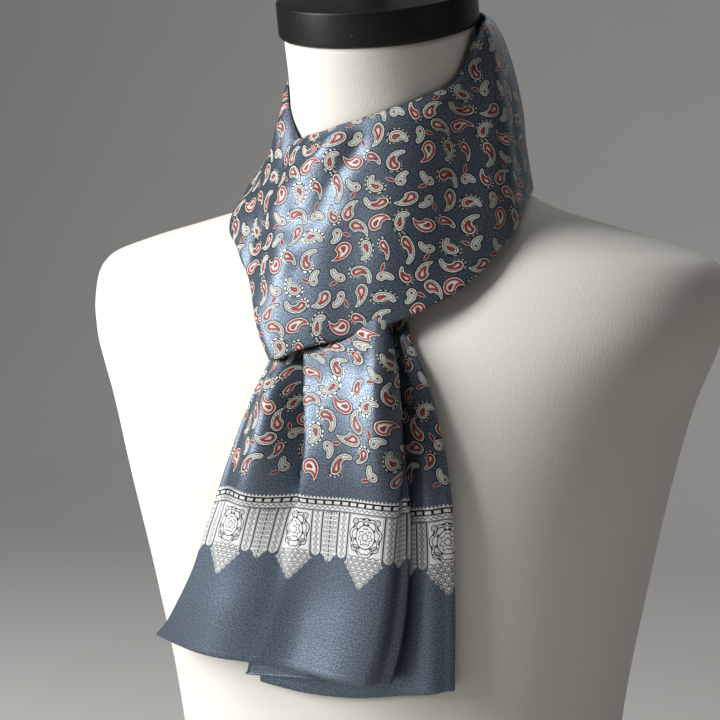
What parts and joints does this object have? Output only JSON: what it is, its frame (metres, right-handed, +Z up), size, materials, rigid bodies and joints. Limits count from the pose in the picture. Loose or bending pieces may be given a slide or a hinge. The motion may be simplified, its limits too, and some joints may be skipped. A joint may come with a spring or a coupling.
{
  "type": "silk scarf on a dress form",
  "caption": "Printed silk scarf folded lengthwise and looped once round the neck of a limbless tabletop dress form, both ends hanging down its front.",
  "frame": {"origin": "middle of the underside of the base board", "axes": "+Z up, the front faces -Y and the wearer's left is +X"},
  "size_m": [0.435, 0.2593, 0.6534],
  "materials": {
    "form_cover": "smooth ivory jersey cover",
    "black_cap": "matt black",
    "black_board": "black stained board",
    "silk": "slate-blue silk twill, soft sheen"
  },
  "bodies": {
    "root": {"form_base": "black_board", "form_body": "form_cover", "neck_cap": "black_cap", "cap_finial": "black_cap", "scarf_wrap": "silk", "scarf_neck_back": "silk", "scarf_tail_front": "silk", "scarf_tail_rear": "silk"}
  },
  "joints": []
}
